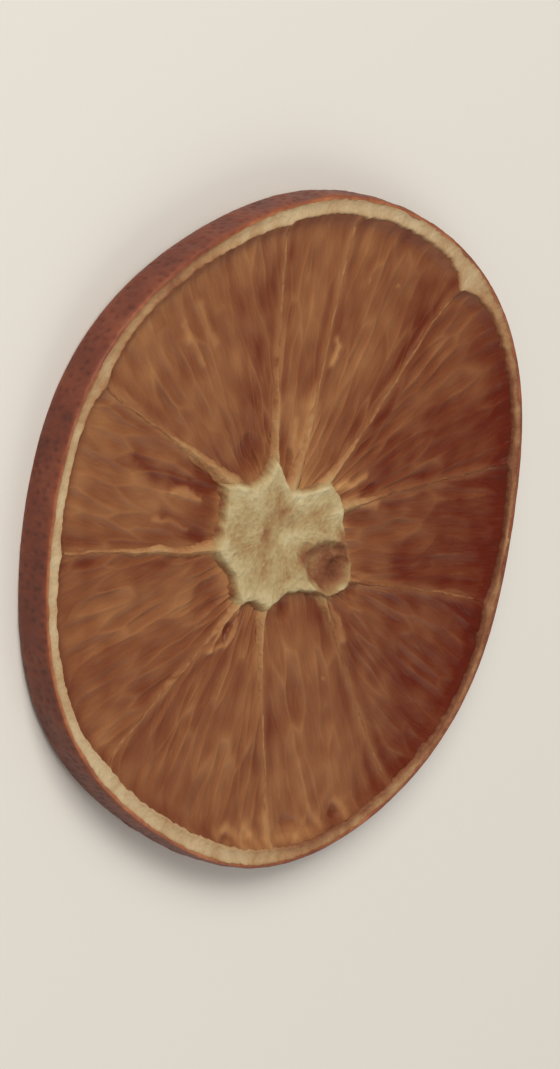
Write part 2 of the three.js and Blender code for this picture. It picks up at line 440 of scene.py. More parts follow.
# %% [markdown]
# Inside the peel lies the albedo, the white of the orange, dried to a cream band. Its face sags a
# little between the peel and the flesh, and its inner side slopes down under the flesh, so that no
# gap can show. Juice has stained it tan on the right, where it is narrowest, and here and there
# elsewhere.

# %% Albedo
ALBEDO_FACE_ROWS = 15
ALBEDO_SAG = 0.14
ALBEDO_OVERLAP = 0.04
ALBEDO_EDGE_DROP = 0.08
ALBEDO_TONE = 0.84
# Tone at the top and at the foot of its inner side, and how much a stain darkens each
INNER_SIDE_TONES = [(0.75, 1.4), (0.4, 0.9)]
# How far inwards and how far down the inner side of the albedo goes
ALBEDO_SLOPE = [(0.08, 0.1), (0.16, 0.28), (0.26, 0.52), (0.38, 0.8), (0.55, 1.2)]


def albedo_face(side):
    rows, tones = [], []
    nibbled = layered_noise(*rim_edge, 41 + side, (1.3, 0.1), (0.5, 0.07))
    patches = layered_noise(*rim_edge, 44 + side, (4.5, 0.18), (1.6, 0.14))
    width = rim_albedo + nibbled
    for share in np.linspace(0, 1, ALBEDO_FACE_ROWS):
        distance = rim_outline - rim_seam - share * width
        x, y = distance * np.cos(rim_direction), distance * np.sin(rim_direction)
        sag = ALBEDO_EDGE_DROP * share + ALBEDO_SAG * math.sin(math.pi * share)
        sponge = layered_noise(x, y, 47 + side, (2.4, 0.07), (0.7, 0.05), (0.3, 0.03))
        inset = rim_seam - ALBEDO_OVERLAP + share * width
        rows.append(rim_row(inset, RIM_THICKNESS / 2 - sag + sponge, side))
        edges = 0.2 * hill(share, 0.12) + 0.12 * hill(1 - share, 0.15)
        stain = rim_stain * (1.1 + 0.1 * share)
        tones.append(ALBEDO_TONE - stain + patches + 0.8 * sponge - edges)
    ribs = layered_noise(*rim_edge, 53 + side, (0.7, 0.04))
    top_tone, foot_tone = (tone - darker * rim_stain for tone, darker in INNER_SIDE_TONES)
    for inward, drop in ALBEDO_SLOPE:
        height = RIM_THICKNESS / 2 - ALBEDO_EDGE_DROP - drop
        rows.append(rim_row(rim_seam + width + inward + ribs, height, side))
        tones.append(blend(top_tone, foot_tone, min(1, 1.8 * drop)) + 1.5 * ribs)
    return rows, tones


upper, upper_tones = albedo_face(1)
lower, lower_tones = albedo_face(-1)
albedo = band_piece("albedo", [*upper[::-1], *lower], [*upper_tones[::-1], *lower_tones], "pith")

# %% [markdown]
# On its upper face drying has opened hollows: a pocket in the pith with a thin wall round it, and
# sunken spots where the flesh has drawn back from the star. Each is a soft round or long dent. The
# same function lowers the pith, the membranes and the flesh, so they stay together.

# %% Hollows of the upper face
DENT_POWER = 2
POCKET_POWER = 2.8
# Place from the star's middle, half length, half width, turn and depth. A dent with a higher power
# has steeper sides and a flatter floor.
POCKET = (6.2, -4.5, 3.0, 2.5, -34, 1.15)
SUNKEN_SPOTS = [
    (3.7, -3.0, 2.0, 1.2, -35, 0.3),
    (-3.6, 8.2, 2.2, 1.9, 115, 0.35),
    (-9.0, -4.0, 2.5, 1.8, 17, 0.35),
    (1.0, -7.4, 1.5, 1.3, 90, 0.35),
    (10.3, -8.1, 0.95, 0.85, -40, 0.36),
    (1.7, 6.7, 0.8, 0.5, 90, 0.35),
    (12.8, 1.3, 1.7, 0.5, 8, 0.25),
    (-7.4, -27.8, 0.8, 0.5, 15, 0.25),
    (1.6, -28.5, 1.4, 0.5, -10, 0.22),
    (7.7, -29.2, 0.7, 0.55, 60, 0.25),
]
POCKET_END = (8.3, -5.2, 1.1, 1.0, -29, 0.45)
SLOT = (-6.6, -8.0, 1.1, 0.55, 48, 0.38)
DENTS = [POCKET_END, SLOT, *SUNKEN_SPOTS]


def ragged_place(x, y):
    """Place from the star's middle, moved a little to and fro, so that no dent has an even edge."""
    away_x = x - STAR_X + layered_noise(x, y, 81, (1.5, 0.3), (0.6, 0.12))
    return away_x, y + layered_noise(x, y, 84, (1.5, 0.3), (0.6, 0.12))


def nearness(place, dent):
    """Distance from the middle of a dent, 1 on its edge."""
    at_x, at_y, half_length, half_width, turned = dent[:5]
    turned = math.radians(turned)
    away_x, away_y = place[0] - at_x, place[1] - at_y
    along = (away_x * math.cos(turned) + away_y * math.sin(turned)) / half_length
    across = (away_y * math.cos(turned) - away_x * math.sin(turned)) / half_width
    return np.hypot(along, across)


def dent_depth(place, dent, power=DENT_POWER):
    return dent[5] * np.maximum(0, 1 - nearness(place, dent) ** power)


def hollow_depth(place):
    pocket = dent_depth(place, POCKET, POCKET_POWER)
    return sum((dent_depth(place, dent) for dent in DENTS), pocket)


def torn_away(place):
    """1 inside the pocket and the slot, where no membrane is left, and 0 outside them."""
    in_pocket = smooth_step(1.1, 0.95, nearness(place, POCKET))
    return np.maximum(in_pocket, smooth_step(1.5, 0.9, nearness(place, SLOT)))


print("hollows:", 1 + len(DENTS))

# %% [markdown]
# The star in the middle is dried pith, light and full of tiny holes like a sponge. It stands above
# the flesh with a raised edge. Outside that edge it slopes down into the flesh, and turns from
# cream to the orange-tan of pith soaked in juice. Its rows run out from the middle of the upper
# face, over the slope, and back in below.

# %% Star of pith
STAR_STEP = 0.14
STAR_FACE_ROWS = 54
STAR_DIMPLE = 0.35
CREAM_INSET = 0.2
BAY_SLOPE, ARM_SLOPE = 0.8, 1.7
STAR_SLOPE_DEPTH = 1.15
STAR_SLOPE_ROWS = 13
# Duller and paler patches, written as the hollows are, with a change of tone for the depth
PITH_PATCHES = [
    (-2.0, 0.4, 1.5, 1.1, 80, -0.26),
    (0.4, 2.0, 0.9, 0.6, 0, -0.16),
    # These two paler patches are painted reflections on the pith.
    (0.9, -0.6, 1.8, 0.9, -20, 0.26),
    (4.2, 1.8, 2.2, 0.8, 10, 0.2),
    (2.6, 2.9, 0.9, 0.6, 40, 0.25),
    (-6.2, 0.6, 1.4, 0.9, 30, -0.12),
    # This darker patch, in the sunken spot beside the pocket, is painted shade.
    (3.5, -2.9, 1.7, 1.2, -35, -0.34),
    (8.1, -7.3, 0.9, 0.6, -50, 0.5),
]
ARM_RISE = 0.14
STAR_RADIUS = 9
HOLE_SPACING = 0.6
POCKET_RIM = 0.1
STAR_TONE = 0.6
POCKET_TONE = 0.27
SLOPE_TONE = 0.74
FOOT_TONES = (0.28, 0.42)
# The thin wall round the far side of the pocket: where it starts and is full, from the star's
# middle, and how much juice has darkened its top and its slope
THIN_WALL_REACH = (7.2, 8.6)
THIN_WALL_STAINS = (0.38, 0.34)


def star_columns():
    """Shares across each segment for the columns of the star."""
    widths = [STAR_RADIUS * (segment.roots[1] - segment.roots[0]) for segment in SEGMENTS]
    return [np.arange(0, 1, STAR_STEP / width) for width in widths]


star_shares = star_columns()
star_count = sum(len(share) for share in star_shares)
print("columns round the star:", star_count)


def star_row(distance_of, further=0.0):
    """X and Y round the star, at a distance worked out from the star's radius there."""
    x, y = [], []
    ends = np.cumsum([len(share) for share in star_shares])
    further = np.split(np.broadcast_to(further, star_count), ends[:-1])
    for segment, share, extra in zip(SEGMENTS, star_shares, further):
        distance = distance_of(segment.star_radius(share)) + extra
        outline = outline_distance(blend(*segment.rims, share))
        turned = segment.direction(share, distance / outline)
        x.append(STAR_X + distance * np.cos(turned))
        y.append(distance * np.sin(turned))
    return np.concatenate(x), np.concatenate(y)


def thin_wall(x, y, place):
    """1 on the thin stained wall round the far side of the pocket, 0 elsewhere."""
    far_side = smooth_step(*THIN_WALL_REACH, np.hypot(x - STAR_X, y))
    return smooth_step(1.7, 1.3, nearness(place, POCKET)) * far_side


def pith_texture(x, y, side):
    """Height and lightness of the sponge: lumps, small round holes, and fibres that run outwards."""
    near, _, number = cells(x / HOLE_SPACING + 60, y / HOLE_SPACING + 60, 67 + side)
    hole = hill(near, 0.28) * (number > 0.5) * number
    outward, turned = np.hypot(x - STAR_X, y), np.arctan2(y, x - STAR_X)
    fibres = creases(turned * 9, outward / 3.5, 63 + side) * smooth_step(1, 4, outward)
    lumps = layered_noise(x, y, 61 + side, (2.4, 0.1), (1.0, 0.07), (0.45, 0.045))
    height = lumps - 0.07 * hole + 0.05 * fibres
    patches = layered_noise(x, y, 65 + side, (3.0, 0.12))
    if side > 0:
        place = ragged_place(x, y)
        for patch in PITH_PATCHES:
            patches = patches + patch[5] * hill(nearness(place, patch), 0.9)
    return height, 0.9 * lumps - 0.1 * hole + 0.07 * fibres + patches


def star_face(side):
    rows, tones = [], []
    edge = star_row(lambda radius: radius)
    frayed = layered_noise(*edge, 71 + side, (1.2, 0.14), (0.5, 0.1))
    arms = np.concatenate([sum(tip_shares(share)) for share in star_shares])
    slope = blend(BAY_SLOPE, ARM_SLOPE, arms) + 2 * frayed
    for part in np.linspace(0, 1, STAR_FACE_ROWS)[1:]:
        x, y = star_row(lambda radius: part * (radius - CREAM_INSET))
        texture, light = pith_texture(x, y, side)
        outwards = smooth_step(0.3, 1, part)
        half = STAR_THICKNESS / 2 - STAR_DIMPLE * (1 - part) ** 2
        half = half + ARM_RISE * (arms - 0.5) * outwards
        half = half + 0.08 * hill(part - 0.94, 0.06) + texture
        tone = STAR_TONE + light + 0.12 * arms * outwards + 0.16 * smooth_step(0.68, 0.95, part)
        if side > 0:
            place = ragged_place(x, y)
            near = nearness(place, POCKET)
            half = half + POCKET_RIM * hill(near - 1.1, 0.14) - hollow_depth(place)
            tone = tone - THIN_WALL_STAINS[0] * thin_wall(x, y, place)
            # The pocket's floor is painted darker towards its far end, as shade in the hole.
            shade_near_pocket_end = smooth_step(2.4, 0.3, nearness(place, POCKET_END))
            floor = POCKET_TONE + 0.9 * texture - 0.22 * shade_near_pocket_end
            tone = blend(tone, floor, smooth_step(1.12, 0.62, near))
        rows.append(on_middle(x, y, half, side))
        tones.append(tone)
    for share in np.linspace(0, 1, STAR_SLOPE_ROWS)[1:]:
        x, y = star_row(lambda radius: radius - CREAM_INSET, share * slope)
        texture, light = pith_texture(x, y, side)
        drop = STAR_SLOPE_DEPTH * smooth_step(-0.05, 1, share) - frayed * math.sin(math.pi * share)
        half = STAR_THICKNESS / 2 - drop + ARM_RISE * (arms - 0.5) * (1 - share) + 0.6 * texture
        foot = blend(*FOOT_TONES, arms)
        tone = blend(SLOPE_TONE, foot, smooth_step(0.0, 0.7, share + frayed)) + 0.8 * light
        if side > 0:
            place = ragged_place(x, y)
            half = half - hollow_depth(place)
            tone = tone - THIN_WALL_STAINS[1] * (1 - share) * thin_wall(x, y, place)
        rows.append(on_middle(x, y, half, side))
        tones.append(tone)
    return rows, tones


def star_piece():
    upper, upper_tones = star_face(1)
    lower, lower_tones = star_face(-1)
    rows = [*upper, *lower[::-1]]
    pole_x, pole_y = np.array([STAR_X]), np.array([0.0])
    poles = [on_middle(pole_x, pole_y, STAR_THICKNESS / 2 - STAR_DIMPLE, side) for side in (1, -1)]
    points = np.concatenate([poles[0], *rows, poles[1]])
    here = 1 + np.arange(star_count)
    beside = 1 + (np.arange(star_count) + 1) % star_count
    last = len(points) - 1
    top_fan = np.stack([np.zeros(star_count, int), here, beside], -1)
    before_last = last - star_count - 1
    low_fan = np.stack([np.full(star_count, last), before_last + beside, before_last + here], -1)
    sides = grid_faces(len(rows), star_count, start=1)
    tone = np.concatenate([[STAR_TONE], *upper_tones, *lower_tones[::-1], [STAR_TONE]])
    return mesh_piece("pith_star", points, [top_fan, sides, low_fan], "pith", tone=tone)


star = star_piece()

# %% [markdown]
# The flesh of a segment is a bundle of juice sacs that point to the star. As they dried, their
# middles sank and their walls stayed up as thin, lighter ridges. Cells stretched along the segment
# give them: narrow near the star, about two millimetres wide and eight long near the rim, each
# drawn out towards the star like a drop. Fine wrinkles run along every sac.

# %% Relief of the flesh
SAC_WIDTH = 2.0
SAC_LENGTH = 7.5
SAC_NARROWING = 0.45
SAC_TAPER = 0.35
SAC_WALL = 0.13
SAC_WALL_HEIGHT = 0.08
SHALLOWEST_SAC, DEEPEST_SAC = 0.02, 0.26
WRINKLE_HEIGHT = 0.045
FOLD_HEIGHT = 0.05
LUMP_HEIGHT = 0.06
SWELL_HEIGHT = 0.1


def sac_relief(segment, share, distance, outline, side):
    """Height of the sacs over the sunken flesh in mm, and how much lighter each point looks."""
    seed = 100 + 10 * segment.index + (0 if side > 0 else 5)
    across = (share - 0.5) * segment.rim_length * (distance / outline) ** SAC_NARROWING
    sway = 0.4 * soft_noise(across / 3.5, distance / 6, seed)
    sway = sway + 0.1 * soft_noise(across, distance / 2, seed + 1)
    x, y = (across + sway) / SAC_WIDTH + 40, distance / SAC_LENGTH + 10
    _, wall, number = cells(x, y, seed + 2, taper=SAC_TAPER)
    wall = wall * SAC_WIDTH
    ridge, sunken = hill(wall, SAC_WALL), smooth_step(0, 0.8, wall)
    own = across + sway + 9 * number
    wrinkles = creases(own / 0.8, distance / 4 + own / 9, seed + 3) * sunken
    folds = soft_noise(own / 0.9, distance / 4, seed + 4) * sunken
    lumps = soft_noise(across / 1.6, distance / 2.4, seed + 7)
    swells = soft_noise(across / 4.5, distance / 5.5, seed + 8)
    clear = smooth_step(-0.4, 0.5, soft_noise(across / 4, distance / 6, seed + 6))
    depth = blend(SHALLOWEST_SAC, DEEPEST_SAC, number**1.5) * sunken
    relief = SAC_WALL_HEIGHT * ridge * clear - depth + WRINKLE_HEIGHT * wrinkles + FOLD_HEIGHT * folds
    light = 0.09 * ridge * clear + 0.09 * (number - 0.5) - 0.3 * depth
    light = light + 0.06 * wrinkles + 0.04 * folds + 0.05 * lumps
    return relief + LUMP_HEIGHT * lumps + SWELL_HEIGHT * swells, light


# %% [markdown]
# Torn strands of membrane and loose sacs lie on the upper face: a bright thread or two beside the
# star, a curl near the top and flecks along the lower rim. Shallow furrows lie beside the
# membranes, painted darker as shade. Each is a line of points with a width, a height and a change
# of tone.

# %% Strands on the flesh
# Half width, height, change of tone, and the points from the star's middle
STRANDS = [
    (0.44, 0.14, 0.42, [(8.1, 16.6), (8.3, 16.0), (8.0, 15.3), (7.5, 14.7)]),
    (0.42, 0.12, 0.28, [(-13.4, 6.7), (-11.4, 6.1), (-10.1, 5.3)]),
    (0.3, 0.08, 0.18, [(-16.1, 4.7), (-13.7, 4.0), (-11.8, 2.8)]),
    (0.4, 0.15, 0.34, [(8.4, 2.4), (10.6, 2.3), (12.2, 2.8)]),
    (0.55, 0.1, 0.36, [(9.6, 0.6), (11.6, 0.1), (13.4, -0.3)]),
    (0.3, 0.16, 0.26, [(-5.3, -6.2), (-6.9, -6.9), (-8.4, -8.5), (-9.2, -9.4)]),
    (0.3, 0.16, 0.26, [(-5.4, -7.1), (-5.7, -8.2), (-6.9, -9.2), (-8.9, -9.4)]),
    (0.45, 0.14, 0.26, [(5.3, -6.8), (7.1, -7.9), (8.4, -10.4), (9.0, -12.6)]),
    (1.2, 0.08, 0.26, [(3.5, 4.2), (3.6, 7.6), (4.4, 9.5), (4.7, 11.1)]),
    (0.5, 0.06, 0.2, [(2.2, 5.2), (2.2, 8.0), (2.6, 10.0)]),
    (0.35, 0.08, 0.16, [(0.3, 7.6), (0.2, 10.5), (0.0, 13.0)]),
    (0.5, 0.06, 0.2, [(-10.4, 23.8), (-9.6, 21.8), (-8.3, 19.5)]),
    (0.35, 0.06, 0.16, [(-12.3, 22.3), (-11.0, 20.2), (-9.8, 18.1)]),
    # These three are the furrows: real shallow dips, painted darker as shade.
    (1.4, -0.04, -0.12, [(-3.2, 9.5), (-2.9, 14.9), (-1.5, 23.4)]),
    (0.8, -0.1, -0.2, [(-7.3, 5.8), (-9.6, 6.2), (-12.4, 7.5), (-15.6, 8.9), (-17.9, 11.0)]),
    (0.8, -0.08, -0.14, [(-9.8, 1.5), (-12.4, 3.3), (-14.3, 4.9)]),
    (0.14, 0.08, 0.25, [(12.3, 21.4), (12.5, 21.6)]),
    (0.14, 0.08, 0.25, [(16.5, 20.0), (16.8, 20.1)]),
    (0.16, 0.08, 0.22, [(6.3, -15.8), (6.7, -16.0)]),
    (0.5, 0.1, 0.2, [(-8.6, -27.0), (-7.2, -26.9), (-5.8, -27.8), (-4.9, -29.2)]),
    (0.5, 0.08, 0.16, [(-4.6, -27.4), (-3.4, -28.6), (-2.8, -29.8)]),
    (0.7, 0.1, 0.2, [(-1.7, -27.3), (-1.3, -28.6), (-1.4, -29.9)]),
    (0.6, 0.08, 0.2, [(0.0, -29.7), (2.0, -30.1), (4.5, -30.2)]),
    (0.5, 0.08, 0.14, [(4.4, -27.9), (5.6, -28.9), (6.0, -29.9)]),
    (0.4, 0.08, 0.18, [(7.9, -28.0), (8.9, -28.8), (9.1, -29.9)]),
]


def strand_marks(x, y):
    """Height and change of tone of the strands at each point."""
    away_x, away_y = ragged_place(x, y)
    height, light = np.zeros(x.shape), np.zeros(x.shape)
    for half_width, rise, change, line in STRANDS:
        near = np.full(x.shape, FAR_AWAY)
        for (from_x, from_y), (to_x, to_y) in zip(line, line[1:]):
            along_x, along_y = to_x - from_x, to_y - from_y
            share = (away_x - from_x) * along_x + (away_y - from_y) * along_y
            share = np.clip(share / (along_x**2 + along_y**2), 0, 1)
            away = np.hypot(away_x - from_x - share * along_x, away_y - from_y - share * along_y)
            near = np.minimum(near, away)
        mark = hill(near, half_width)
        height = height + rise * mark
        light = light + change * mark
    return height, light


print("strands:", len(STRANDS))

# %% [markdown]
# The slice isn't one brown. On the right the flesh dried deep red-brown, and towards the upper left
# it stayed thinner and more amber. Beside the star and along the membranes it is lighter, where
# pith runs into it. It is painted darker, as shade, in every hollow, a little way out from the star
# and in a thin band just inside the rim. On the lower right a wider dark band inside the rim is
# partly juice that collected there and partly painted shade from the rim. One tone for each point
# holds all of this.

# %% Tone of the flesh
SEGMENT_TONES = [0.52, 0.54, 0.36, 0.33, 0.36, 0.52, 0.56, 0.53, 0.54, 0.47]
TONE_AT_STAR = 0.53
DARK_FLESH = 0.32
# Direction, spread and strength of the stretches where pale sac ends show along the albedo
SAC_END_STRETCHES = [(-95, 20, 1.0), (125, 25, 0.5), (40, 15, 0.3)]
# Direction, spread and depth of the dark band inside the rim, partly juice that collected there
# and partly painted shade from the rim, and its width
RIM_SHADE_AND_JUICE = (-25, 38, 0.16)
RIM_SHADE_AND_JUICE_WIDTH = 3.0


def flesh_tone(segment, share, from_star, to_albedo, to_membrane, x, y, side):
    before = SEGMENT_TONES[segment.index - 1]
    own, after = SEGMENT_TONES[segment.index], SEGMENT_TONES[segment.next]
    near_first, near_last = hill(share, 0.25), hill(1 - share, 0.25)
    tone = own + 0.5 * near_first * (before - own) + 0.5 * near_last * (after - own)
    tone = blend(TONE_AT_STAR, tone, smooth_step(0, 11, from_star))
    tone = tone + layered_noise(x, y, 151 + side, (7.0, 0.1), (2.5, 0.07))
    # Lighter beside the star, where pith runs in; a little way out, painted shade
    tone = tone + 0.2 * hill(from_star, 0.9) - 0.04 * hill(from_star - 2.6, 1.6)
    tone = tone + 0.1 * hill(to_membrane, 0.45) - 0.06 * hill(to_membrane - 1.1, 0.5)
    direction = np.arctan2(y, x - STAR_X)
    ends = sum(much * hill_round(direction, at, spread) for at, spread, much in SAC_END_STRETCHES)
    speckle = smooth_step(0.1, 0.5, layered_noise(x, y, 155 + side, (1.6, 1.0)))
    tone = tone + ends * (0.08 + 0.2 * speckle) * hill(to_albedo - 0.6, 1.5)
    # Lower right: a band inside the rim, partly juice and partly painted shade from the rim. All
    # round: a thin band just inside the albedo, painted shade at the rim's foot.
    at, spread, depth = RIM_SHADE_AND_JUICE
    rim_shade_and_juice = depth * hill_round(direction, at, spread) * hill(to_albedo, RIM_SHADE_AND_JUICE_WIDTH)
    return tone - rim_shade_and_juice - 0.08 * hill(to_albedo - 0.5, 0.8)


# %% [markdown]
# Each segment is a closed pillow: an upper and a lower face, joined along four hidden sides. The
# lower face has half as many rows, so its ends are zipped to the upper one with triangles. The
# edges reach a little under the star, the membranes and the albedo, so no gap can open.

# %% Segments of flesh
FLESH_STEP = 0.16
UPPER_ROWS, LOWER_ROWS = 120, 60
TUCKED_UNDER = 0.4
FLESH_RISE_AT_RIM = 0.3
FLESH_DIP_AT_STAR = 0.15
CLIMB_UP_ALBEDO = 0.5
CLIMB_WIDTH = 0.85


def segment_face(segment, side, rows, columns):
    share = np.linspace(0, 1, columns)[None, :]
    part = np.linspace(0, 1, rows)[:, None]
    outline = outline_distance(blend(*segment.rims, share))
    star_edge = segment.star_radius(share)
    albedo_edge = outline - PEEL_WIDTH - albedo_width(segment, share)
    distance = blend(star_edge - TUCKED_UNDER, albedo_edge + TUCKED_UNDER, part)
    share, outline, part = (np.broadcast_to(v, distance.shape) for v in (share, outline, part))
    turned = segment.direction(share, distance / outline)
    x, y = STAR_X + distance * np.cos(turned), distance * np.sin(turned)
    lane = segment.lane(distance, outline)
    to_membrane = np.minimum(share, 1 - share) * lane
    to_albedo, from_star = albedo_edge - distance, distance - star_edge
    relief, light = sac_relief(segment, share, distance, outline, side)
    calm = smooth_step(0, 0.6, to_membrane) * blend(0.35, 1, smooth_step(0, 1.6, to_albedo))
    half = (FLESH_THICKNESS - segment.sunk) / 2 + relief * calm
    half = half + FLESH_RISE_AT_RIM * part**6 - FLESH_DIP_AT_STAR * (1 - part) ** 4
    half = half + 0.1 * hill(to_membrane, 0.5) + CLIMB_UP_ALBEDO * hill(to_albedo + 0.1, CLIMB_WIDTH)
    tone = flesh_tone(segment, share, from_star, to_albedo, to_membrane, x, y, side)
    tone = tone + light * calm
    if side > 0:
        hollow = hollow_depth(ragged_place(x, y))
        strand_height, strand_light = strand_marks(x, y)
        half = half - hollow + strand_height
        # The flesh in every hollow is painted darker by its depth, as shade.
        tone = tone - 0.45 * hollow + strand_light
    tone = np.maximum(tone, blend(DARK_FLESH, tone, 0.5))
    grain = np.stack([(share - 0.5) * lane, distance, np.full(x.shape, 7.0 * segment.index)], -1)
    return on_middle(x, y, half, side).reshape(-1, 3), tone.ravel(), grain.reshape(-1, 3)


def zip_edges(first, second):
    """Triangles between two lines of point numbers that hold different counts of points."""
    triangles, i, j = [], 0, 0
    while i < len(first) - 1 or j < len(second) - 1:
        if (i + 1) / (len(first) - 1) <= (j + 1) / (len(second) - 1):
            triangles.append((first[i], first[i + 1], second[j]))
            i += 1
        else:
            triangles.append((first[i], second[j + 1], second[j]))
            j += 1
    return np.array(triangles)


def segment_piece(segment):
    columns = round(segment.rim_length / FLESH_STEP)
    top = segment_face(segment, 1, UPPER_ROWS, columns)
    low = segment_face(segment, -1, LOWER_ROWS, columns)
    start = UPPER_ROWS * columns
    up = np.arange(start).reshape(UPPER_ROWS, columns)
    down = start + np.arange(LOWER_ROWS * columns).reshape(LOWER_ROWS, columns)
    faces = [
        grid_faces(UPPER_ROWS, columns, round_columns=False),
        grid_faces(LOWER_ROWS, columns, round_columns=False, start=start)[:, ::-1],
        np.stack([up[0, :-1], up[0, 1:], down[0, 1:], down[0, :-1]], -1),
        np.stack([up[-1, 1:], up[-1, :-1], down[-1, :-1], down[-1, 1:]], -1),
        zip_edges(up[:, 0], down[:, 0])[:, ::-1],
        zip_edges(up[:, -1], down[:, -1]),
    ]
    points, tone, grain = (np.concatenate(pair) for pair in zip(top, low))
    return mesh_piece(segment.name, points, faces, "flesh", tone=tone, grain=grain)


flesh = [segment_piece(segment) for segment in SEGMENTS]

# %% [markdown]
# Between two segments stands a membrane, a papery wall that runs through the whole thickness. Near
# the star it is as thick and pale as the pith that it grows from. Further out it thins to a faint
# line, darker where the flesh beside it is dark. Each is a long strip with a ridge above and below,
# and its feet are sunk in the flesh.

# %% Membranes
MEMBRANE_RISE = 0.3
FAINT_HALF_WIDTH = 0.42
MEMBRANE_ROWS = 150
MEMBRANE_POINTS = 17
ROOT_LENGTH = 3.5
FOOT_SINK = 0.25
FAINT_TONE, CLEAR_TONE = 0.36, 0.6
EDGE_TONE = 0.25
# Tone of membrane torn away inside the pocket and the slot: painted shade of the hole
TORN_IN_SHADE_TONE = 0.15
# How far from the star's middle each stays pale, how clear it is beyond that, its half width while
# pale, and how much wider its root is
MEMBRANE_LOOKS = [
    (11.0, 0.12, 0.4, 0.3),
    (14.0, 0.25, 0.55, 0.3),
    (12.5, 0.15, 0.5, 0.3),
    (12.0, 0.15, 0.35, 0.2),
    (14.0, 0.0, 0.6, 0.4),
    (11.5, 0.25, 0.5, 0.3),
    (11.5, 0.25, 0.8, 0.5),
    (14.0, 0.15, 0.5, 0.3),
    (17.5, 0.2, 0.74, 0.3),
    (20.0, 0.4, 0.58, 0.35),
]


def membrane_face(index, side):
    segment, before = SEGMENTS[index], SEGMENTS[index - 1]
    pale_to, faint, pale_half_width, root_width = MEMBRANE_LOOKS[index]
    outline = float(outline_distance(segment.rims[0]))
    reach, seed = float(segment.star_radius(0.0)), 200 + 10 * index
    end = outline - PEEL_WIDTH - float(albedo_width(segment, 0.0)) + TUCKED_UNDER
    distance = np.linspace(reach - 1.3, end, MEMBRANE_ROWS)[:, None]
    across = np.linspace(-1, 1, MEMBRANE_POINTS)[None, :]
    line = np.zeros_like(distance)
    pale = 1 - smooth_step(pale_to - 4, pale_to + 2.5, distance)
    clear = blend(faint, 1, pale)
    root = 1 - smooth_step(reach - 1.2, reach + ROOT_LENGTH, distance)
    half_width = blend(FAINT_HALF_WIDTH, pale_half_width, pale) + root_width * root
    ragged = 0.2 * soft_noise(distance / 1.8, line, seed)
    ragged = ragged + 0.1 * soft_noise(distance / 0.6, 4 * across, seed + 5)
    half_width = half_width * (1 + ragged)
    sway = 0.2 * soft_noise(distance / 3.5, line, seed + 1)
    sway = sway + 0.06 * soft_noise(distance, line, seed + 2)
    turned = segment.direction(0.0, distance / outline)
    sideways = sway * (1 - root) + across * half_width
    x = STAR_X + distance * np.cos(turned) - sideways * np.sin(turned)
    y = distance * np.sin(turned) + sideways * np.cos(turned)
    part = np.clip((distance - reach) / (end - reach), 0, 1)
    flesh_half = (FLESH_THICKNESS - (segment.sunk + before.sunk) / 2) / 2
    flesh_half = flesh_half + FLESH_RISE_AT_RIM * part**6
    uneven = 1 + 0.3 * soft_noise(distance / 1.4, line, seed + 3)
    crest = MEMBRANE_RISE * blend(0.05, 1, clear) * uneven
    crest = blend(crest, STAR_THICKNESS / 2 - 0.2 - flesh_half, root**1.5)
    threads = creases(across * half_width / 0.5, distance / 3, seed + 7)
    lift = layered_noise(x, y, seed + 4, (0.9, 0.04), (0.4, 0.025)) + 0.04 * threads
    half = flesh_half + (crest + FOOT_SINK) * np.exp(-2.4 * across**2) - FOOT_SINK + 0.08 + lift
    creamy = 1 - smooth_step(reach - 0.5, reach + 2.5, distance)
    darker = TONE_AT_STAR - (SEGMENT_TONES[index] + SEGMENT_TONES[index - 1]) / 2
    peak = blend(FAINT_TONE - 0.7 * darker, CLEAR_TONE, clear) + 0.2 * creamy
    tone = blend(EDGE_TONE - 0.3 * darker, peak, np.exp(-1.6 * np.abs(across) ** 3))
    tone = tone + layered_noise(x, y, seed + 8, (2.0, 0.1), (0.6, 0.07)) + 0.08 * threads
    if side > 0:
        place = ragged_place(x, y)
        torn = torn_away(place)
        held_up = 0.6 * np.exp(-3 * across**2) * (1 - torn)
        half = half - hollow_depth(place) * (1 - held_up) - 0.7 * torn
        # Torn-away membrane sinks into the hole and is painted dark, as the hole's shade
        tone = blend(tone, TORN_IN_SHADE_TONE, torn)
    return on_middle(x, y, np.maximum(half, 0.05), side), tone


def membrane_piece(index):
    top, top_tone = membrane_face(index, 1)
    low, low_tone = membrane_face(index, -1)
    points = np.concatenate([top[:, ::-1], low], 1).reshape(-1, 3)
    tone = np.concatenate([top_tone[:, ::-1], low_tone], 1).ravel()
    around = 2 * MEMBRANE_POINTS
    ends = np.stack([np.arange(around), np.arange(len(points) - 1, len(points) - 1 - around, -1)])
    faces = [grid_faces(MEMBRANE_ROWS, around), ends]
    return mesh_piece(f"membrane_{index + 1:02d}", points, faces, "pith", tone=tone)


membranes = [membrane_piece(index) for index in range(len(MEMBRANES))]

# %% [markdown]
# Materials. Each is a Principled shader whose colour runs along a ramp, from the darkest tone of
# that part of the fruit to its palest. The tone comes from the mesh, and fine procedural noise
# breaks it up. Dried flesh is like amber leather, with a soft shine on its ridges. Pith and albedo
# are dry and matte. The peel is waxy. A little light passes into all of them.

# %% Material helpers
def srgb(red, green, blue):
    """A colour written with 0 to 255 on a screen, as Blender's linear values."""
    scaled = np.array([red, green, blue]) / 255
    linear = np.where(scaled <= 0.04045, scaled / 12.92, ((scaled + 0.055) / 1.055) ** 2.4)
    return (*linear.tolist(), 1.0)


